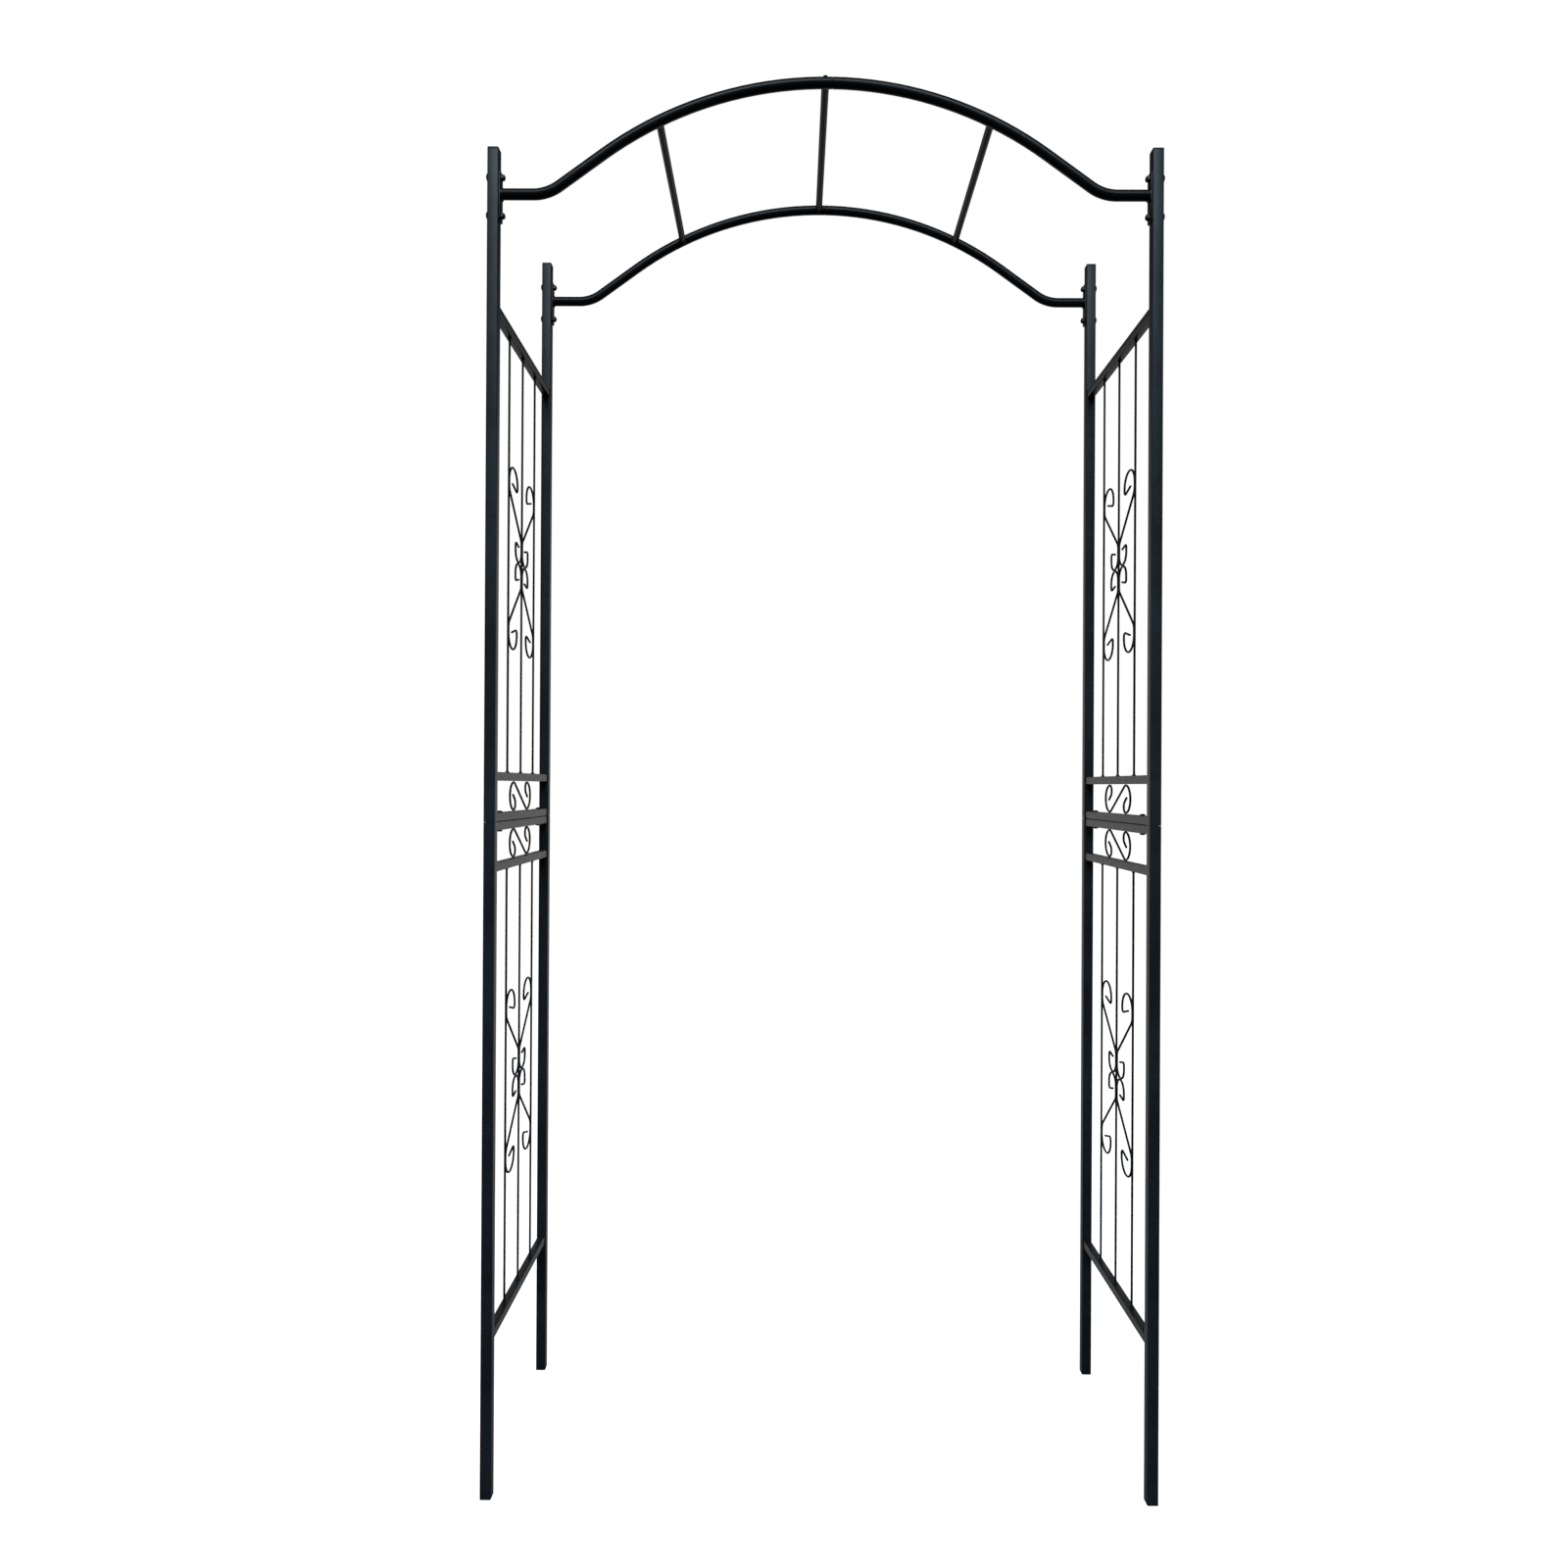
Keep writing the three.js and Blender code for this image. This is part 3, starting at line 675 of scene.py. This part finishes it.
def panel_welds():
    """All the beads of one panel, as one piece."""
    ring, blob = rail_weld_pattern(), rod_weld_pattern()
    tack = ripple_bead("tack", TACK_LENGTH, TACK_BEAD)
    beads = []

    def put(pattern, place):
        beads.append(copy_to(pattern, f"weld_{len(beads)}", place))

    for height in (JOINT_RAIL_Z, MIDDLE_RAIL_Z, OUTER_RAIL_Z):
        for way in (-1, 1):
            put(ring, Matrix.Translation((0, way * (RAIL_LENGTH / 2 + FIT_GAP / 2), height)))
    for row in (-1, 0, 1):
        foot = Matrix.Translation((0, row * ROD_PITCH, MIDDLE_RAIL_Z + RAIL_SIDE / 2))
        head = Matrix.Translation((0, row * ROD_PITCH, OUTER_RAIL_Z - RAIL_SIDE / 2))
        put(blob, foot)
        put(blob, head @ half_turn_y)
    narrow = Matrix.Diagonal((1, TACK_SQUEEZE, 1, 1))
    figure = (MIDDLE_RAIL_Z + OUTER_RAIL_Z) / 2
    contact = WIRE_PITCH / 2
    for across in (-1, 1):
        for along in (-1, 1):
            small = (0, across * contact, figure + along * SMALL_CURL_TACK)
            big = (0, across * (ROD_PITCH - contact), figure + along * BIG_CURL_TACK)
            put(tack, Matrix.Translation(small) @ narrow)
            put(tack, Matrix.Translation(big) @ narrow)
    for pattern in (ring, blob, tack):
        bpy.data.objects.remove(pattern)
    return smooth(joined("panel_welds", beads), 50)


patterns = {
    "upper_post": post_pattern(True),
    "lower_post": post_pattern(False),
    "joint_rail": rail_pattern(True),
    "plain_rail": rail_pattern(False),
    "cap": cap_pattern(),
    "rod": rod_pattern(),
    "curl": curl_scroll_pattern(),
    "bay": bay_scroll_pattern(),
    "welds": panel_welds(),
}

RAILS = {"joint": JOINT_RAIL_Z, "middle": MIDDLE_RAIL_Z, "outer": OUTER_RAIL_Z}
for (level, side), panel in PANELS.items():
    swap = -1 if (level, side) == ("lower", "left") else 1  # this one is turned front to back
    for end, way in ENDS.items():
        across = Matrix.Translation((0, swap * way * POST_Y, 0))
        post = copy_to(patterns[f"{level}_post"], f"{level}_{end}_{side}_post_tube", panel @ across)
        fit(post, "post_paint", f"{level}_post_{end}_{side}")
        kind = "top" if level == "upper" else "foot"
        seat = across @ Matrix.Translation((0, 0, CAP_TOP))
        cap = copy_to(patterns["cap"], f"{end}_{side}_{kind}_plug", panel @ seat)
        fit(cap, "cap_plastic", f"{kind}_cap_{end}_{side}")
    for kind, height in RAILS.items():
        pattern = patterns["joint_rail" if kind == "joint" else "plain_rail"]
        place = panel @ Matrix.Translation((0, 0, height))
        rail = copy_to(pattern, f"{level}_{side}_{kind}_rail_tube", place)
        fit(rail, "rail_paint", f"{level}_{kind}_rail_{side}")
    for row, label in ((-1, "first"), (0, "middle"), (1, "last")):
        place = panel @ Matrix.Translation((0, row * ROD_PITCH, 0))
        rod = copy_to(patterns["rod"], f"{level}_{side}_{label}_rod", place)
        fit(rod, "wire_paint", f"{level}_grille_{side}")
    figure = Matrix.Translation((0, 0, (MIDDLE_RAIL_Z + OUTER_RAIL_Z) / 2))
    for across, row in ((-1, "first"), (1, "last")):
        for along, tier in ((-1, "inner"), (1, "outer")):
            place = panel @ figure @ Matrix.Diagonal((1, across, along, 1))
            scroll = copy_to(patterns["curl"], f"{level}_{side}_{row}_{tier}_scroll", place)
            fit(scroll, "wire_paint")
    bay = Matrix.Translation((0, 0, (JOINT_RAIL_Z + MIDDLE_RAIL_Z) / 2))
    scroll = copy_to(patterns["bay"], f"{level}_{side}_bay_wire", panel @ bay)
    fit(scroll, "wire_paint", f"{level}_bay_scroll_{side}")
    # The welds take the near-black wire coat: painted shade, for beads that face sideways and catch
    # little light
    fit(copy_to(patterns["welds"], f"{level}_{side}_panel_welds", panel), "wire_paint")


# ---------------------------------------------------------------- hoops

def hoop_tube_pattern(side):
    """Half a hoop at y = 0. The right half ends in a reduced spigot that fits the left half."""
    plane = (-X * SIDES[side], Z)
    start = FIT_GAP + FLANGE_THICKNESS / 2
    seam = math.degrees(math.asin(HOOP_SEAM / CROWN_RADIUS))
    gap = math.degrees(FIT_GAP / CROWN_RADIUS)
    crown = HOOP_SLOPE + seam if side == "left" else HOOP_SLOPE - seam - gap
    moves = [
        ("run", HOOP_END_RUN - start), ("turn", HOOP_SLOPE, HOOP_BEND),
        ("run", HOOP_STRAIGHT), ("turn", -crown, CROWN_RADIUS),
    ]
    at = Vector((SIDES[side] * (HALF_SPAN - start), 0, HOOP_END_Z))
    tube = start_bar("hoop_pattern", HOOP_RADIUS, at, 0, plane, 32)
    at, heading = lead(at, 0, moves, plane, 2)
    bpy.ops.mesh.bevel(offset=0.5 * MM, segments=2, affect="EDGES")
    pick(
        "FACE",
        lambda face: len(face.verts) == 32 and abs(face.calc_center_median().x) < 2 * HOOP_SEAM,
    )
    reach = math.degrees(SPIGOT_LENGTH / CROWN_RADIUS)
    if side == "right":
        bpy.ops.mesh.inset(thickness=HOOP_WALL, depth=0)
        lead(at, heading, [("turn", -reach, CROWN_RADIUS)], plane, 1)
    else:
        bpy.ops.mesh.inset(thickness=HOOP_WALL - 0.5 * MM, depth=0)
        lead(at, heading + 180, [("turn", 1.2 * reach, CROWN_RADIUS)], plane, 1)
    leave()
    return smooth(tube, 40)


def flange_pattern():
    """The end plate of the right half hoops at y = 0, with its two bolt holes."""
    clear()
    centre = Vector((HALF_SPAN - FIT_GAP - FLANGE_THICKNESS / 2, 0, FLANGE_Z))
    bpy.ops.mesh.primitive_cube_add(
        size=1, location=centre, scale=(FLANGE_THICKNESS, POST_SIDE, FLANGE_LENGTH)
    )
    plate = fixed("flange_pattern")
    edit()
    pick("EDGE", lambda edge: abs(edge.verts[0].co.x - edge.verts[1].co.x) > FLANGE_THICKNESS / 2)
    bpy.ops.mesh.bevel(offset=FLANGE_CORNER, segments=6, affect="EDGES")
    leave()
    for level in ("upper", "lower"):
        hole = middle(f"flange_bolt_{level}_front_right")
        drill(plate, (centre.x, 0, hole.z), FLANGE_BOLT["shank"] + HOLE_FIT, 4 * FLANGE_THICKNESS, X)
    soften(plate, 0.35 * MM, 2, 50)
    return smooth(plate)


def flange_weld_pattern():
    """The rippled bead round a right half hoop's end, squeezed to the plate's width."""
    clear()
    centre = Vector((HALF_SPAN - FIT_GAP - FLANGE_THICKNESS - 0.6 * MM, 0, HOOP_END_Z))
    bpy.ops.mesh.primitive_torus_add(
        location=centre, rotation=(0, math.pi / 2, 0), major_radius=HOOP_RADIUS + 0.4 * MM,
        minor_radius=FLANGE_BEAD, major_segments=3 * FLANGE_RIPPLES, minor_segments=12,
    )
    weld = fixed("flange_weld_pattern")
    edit()

    def on_ripple(face):
        out = face.calc_center_median() - centre
        return math.sin(FLANGE_RIPPLES * math.atan2(out.z, out.y)) > 0

    pick("FACE", on_ripple)
    bpy.ops.transform.shrink_fatten(value=-0.35 * MM)
    bpy.ops.mesh.select_all(action="SELECT")
    bpy.ops.mesh.vertices_smooth(factor=0.4, repeat=1)
    squeeze = POST_SIDE / 2 / (HOOP_RADIUS + 3.4 * MM)
    bpy.ops.transform.resize(value=(1, squeeze, 1), center_override=centre)
    leave()
    return smooth(weld, 60)


mirror_x = Matrix.Diagonal((-1, 1, 1, 1))
halves = {side: hoop_tube_pattern(side) for side in SIDES}
plate, collar = flange_pattern(), flange_weld_pattern()
for end, way in ENDS.items():
    along = Matrix.Translation((0, way * POST_Y, 0))
    for side in SIDES:
        flip = along @ mirror_x if side == "left" else along
        tube = copy_to(halves[side], f"{end}_{side}_hoop_tube", along)
        fit(tube, "hoop_paint", f"hoop_half_{end}_{side}")
        fit(copy_to(plate, f"{end}_{side}_hoop_flange", flip), "hoop_paint")
        fit(copy_to(collar, f"{end}_{side}_flange_weld", flip), "hoop_paint")


def crossbar_pattern():
    """A crossbar at x = 0, z = 0, coped to the round of the two hoops."""
    bar = round_bar("crossbar_pattern", CROSSBAR_RADIUS, 2 * POST_Y, (0, 0, 0), Y, 32)
    for way in (-1, 1):
        hoop = round_bar("hoop", HOOP_RADIUS, 60 * MM, (0, way * POST_Y, 0), X, 48)
        carve(bar, hoop, "DIFFERENCE")
    return smooth(bar)


def crossbar_weld_pattern():
    """The bead round a crossbar's rear end at x = 0, z = 0, saddled on the hoop."""
    radius = CROSSBAR_RADIUS + CROSSBAR_BEAD
    bead = round_bar("crossbar_weld_pattern", radius, 24 * MM, (0, POST_Y - 9 * MM, 0), Y, 48)
    around = round_bar("around", HOOP_RADIUS + CROSSBAR_BEAD, 60 * MM, (0, POST_Y, 0), X, 64)
    carve(bead, around, "INTERSECT")
    soften(bead, 0.9 * MM, 3, 40)
    return smooth(bead, 60)


bar, saddle = crossbar_pattern(), crossbar_weld_pattern()
for label in ("left", "centre", "right"):
    centre = middle(f"crossbar_{label}")
    tilt = math.asin(centre.x / CROWN_RADIUS)
    height = CROWN_Z - CROWN_RADIUS * (1 - math.cos(tilt))
    place = Matrix.Translation((centre.x, 0, height)) @ Matrix.Rotation(tilt, 4, "Y")
    fit(copy_to(bar, f"{label}_crossbar_tube", place), "hoop_paint", f"crossbar_{label}")
    fit(copy_to(saddle, f"{label}_crossbar_rear_weld", place), "hoop_paint")
    fit(copy_to(saddle, f"{label}_crossbar_front_weld", place @ half_turn_z), "hoop_paint")


# ---------------------------------------------------------------- fasteners
# Bolts stand on the underside of their heads at z = 0, with the shank towards -Z.

THREAD_TURNS = 6


def bolt_pattern(bolt, length, recessed):
    """A domed bolt with a threaded end, and a cross recess if wanted."""
    shank, (wide, high) = bolt["shank"], bolt["head"]
    pitch = shank / 3
    thread_start = -length + 0.3 * MM
    thread = []
    for turn in range(THREAD_TURNS):
        height = thread_start + turn * pitch
        thread += [(shank, height + pitch * 0.25), (shank * 0.88, height + pitch * 0.75)]
    dome = [
        (wide * math.cos(a), high * (0.22 + 0.78 * math.sin(a)))
        for a in (math.radians(d) for d in (0, 12, 24, 36, 48, 60, 72, 82))
    ]
    profile = [(shank * 0.8, -length), *thread, (shank, thread_start + THREAD_TURNS * pitch)]
    profile += [(shank, 0), (wide * 0.96, 0), (wide, high * 0.1), *dome]
    piece = turned("bolt_pattern", profile, 36)
    if recessed:
        for turn in (0, math.pi / 2):
            clear()
            bpy.ops.mesh.primitive_cube_add(
                size=1, location=(0, 0, high), rotation=(0, 0, turn),
                scale=(wide, wide * 0.2, high * 0.9),
            )
            carve(piece, fixed("recess"), "DIFFERENCE")
    return smooth(piece, 32)


def nut_pattern(bolt, grip):
    """A chamfered hexagon nut on a bolt of that grip."""
    flats, high = bolt["nut"]
    corners = flats / 2 / math.cos(math.pi / 6)
    nut = round_bar("nut_pattern", corners, high, (0, 0, -grip - high / 2), Z, 6)
    chamfer = 0.14 * high
    profile = [
        (flats / 2 * 0.97, -grip - high), (corners, -grip - high + chamfer),
        (corners, -grip - chamfer), (flats / 2 * 0.97, -grip),
    ]
    carve(nut, turned("chamfer", profile, 48), "INTERSECT")
    drill(nut, (0, 0, -grip - high / 2), bolt["shank"] * 1.01, 2 * high, Z)
    soften(nut, 0.15 * MM, 1, 50)
    return smooth(nut, 30)


def fasten(bolt, recessed, node_names, outward):
    """Puts a bolt and its nut in place of each node; outward gives the way its head looks."""
    head = bolt["head"][1]
    span = max(size(node_names[0]))
    grip = span - head - bolt["nut"][1] - bolt["tip"]
    pattern = bolt_pattern(bolt, span - head, recessed)
    nut = nut_pattern(bolt, grip)
    for node in node_names:
        way = outward(node)
        seat = middle(node) + way * (span / 2 - head)
        place = Matrix.Translation(seat) @ facing(way).to_matrix().to_4x4()
        label = node.replace("_bolt_", "_")
        fit(copy_to(pattern, f"{label}_bolt", place), "fastener_black", node)
        fit(copy_to(nut, f"{label}_nut", place), "fastener_black")
    bpy.data.objects.remove(pattern)
    bpy.data.objects.remove(nut)


flange_bolts = [
    f"flange_bolt_{level}_{end}_{side}"
    for level in ("upper", "lower") for end in ENDS for side in SIDES
]
joint_bolts = [f"joint_bolt_{end}_{side}" for end in ENDS for side in SIDES]
fasten(FLANGE_BOLT, False, flange_bolts, lambda node: X if node.endswith("right") else -X)
fasten(JOINT_BOLT, True, joint_bolts, lambda node: Z)

screw = bolt_pattern(CROWN_SCREW, CROWN_SCREW["length"], True)
for end in ENDS:
    node = f"crown_screw_{end}"
    seat = middle(node)
    seat.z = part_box(node)[1].z - CROWN_SCREW["head"][1]
    fit(copy_to(screw, f"{end}_crown_fixing", Matrix.Translation(seat)), "fastener_black", node)

for pattern in [*patterns.values(), *halves.values(), plate, collar, bar, saddle, screw]:
    bpy.data.objects.remove(pattern)


# ---------------------------------------------------------------- studio

def pale_floor():
    clear()
    bpy.ops.mesh.primitive_plane_add(size=40, location=(0, 0, 0))
    floor = fixed("studio_floor")
    material = bpy.data.materials.new("studio_floor")
    paint = Paint(material)
    cast = paint.clouds(1.5, 3)
    colour = paint.blend(cast, (0.84, 0.84, 0.84, 1), (0.88, 0.88, 0.88, 1))
    paint.finish(
        colour, 0.7 + 0.1 * cast, cast, 0.1 * MM,
        Emission_Color=(1, 1, 1, 1), Emission_Strength=1.0,
    )
    floor.data.materials.append(material)
    floor.visible_glossy = False
    floor.visible_diffuse = False


def surroundings():
    """White to the eye; to the paint, a bright backdrop beyond the arch and a dim room before it."""
    world = bpy.data.worlds.new("studio")
    bpy.context.scene.world = world
    light = Paint(world)
    apart = light.add("ShaderNodeSeparateXYZ", None, {0: light.coordinates["Generated"]})
    beyond = light.between(Value(light, apart.outputs[1]), 0.0, 0.9)
    height = Value(light, apart.outputs[2])
    backdrop = beyond * light.between(height, -0.75, -0.1) * (1 - light.between(height, 0.1, 0.45))
    room = light.add("ShaderNodeBackground", None, {"Color": (0.80, 0.90, 1.0, 1), "Strength": 0.04})
    sheet = light.add("ShaderNodeBackground", None, {"Color": (1, 1, 1, 1), "Strength": 0.65})
    white = light.add("ShaderNodeBackground", None, {"Color": (1, 1, 1, 1), "Strength": 1.0})
    seen = light.add("ShaderNodeLightPath")
    lit = light.add(
        "ShaderNodeMixShader", None, {0: backdrop, 1: room.outputs[0], 2: sheet.outputs[0]}
    )
    either = light.add(
        "ShaderNodeMixShader", None,
        {0: seen.outputs["Is Camera Ray"], 1: lit.outputs[0], 2: white.outputs[0]},
    )
    light.add("ShaderNodeOutputWorld", None, {"Surface": either.outputs[0]})


def softbox(name, place, target, width, height, power, colour):
    light = bpy.data.lights.new(name, "AREA")
    light.color = colour
    light.shape = "RECTANGLE"
    light.size, light.size_y = width, height
    light.energy = power
    lamp = bpy.data.objects.new(name, light)
    lamp.location = place
    lamp.rotation_euler = (Vector(target) - Vector(place)).to_track_quat("-Z", "Y").to_euler()
    bpy.context.scene.collection.objects.link(lamp)


def camera(place, pan, tilt, roll, focal):
    """A view into the arch, with its turns in radians and its focal length in frame widths."""
    lens = bpy.data.cameras.new("view")
    lens.sensor_width = 36
    lens.lens = 36 * focal
    ahead = Vector((math.sin(pan) * math.cos(tilt), math.cos(pan) * math.cos(tilt), math.sin(tilt)))
    right = Vector((math.cos(pan), -math.sin(pan), 0))
    above = right.cross(ahead)
    rolled_right = math.cos(roll) * right + math.sin(roll) * above
    rolled_up = math.cos(roll) * above - math.sin(roll) * right
    eye = bpy.data.objects.new("view", lens)
    eye.location = place
    eye.rotation_euler = Matrix((rolled_right, rolled_up, -ahead)).transposed().to_euler()
    bpy.context.scene.collection.objects.link(eye)
    bpy.context.scene.camera = eye


pale_floor()
surroundings()
softbox(
    "key", place=(0, -4.0, 5.3), target=(0, 0, 1.4), width=4.0, height=1.2,
    power=200, colour=(0.72, 0.88, 1.0),
)
camera(
    place=(-0.0547, -1.9103, 1.2033), pan=-0.00535, tilt=0.00217, roll=0.00515, focal=0.64884375,
)
bpy.context.scene.view_settings.view_transform = "Standard"
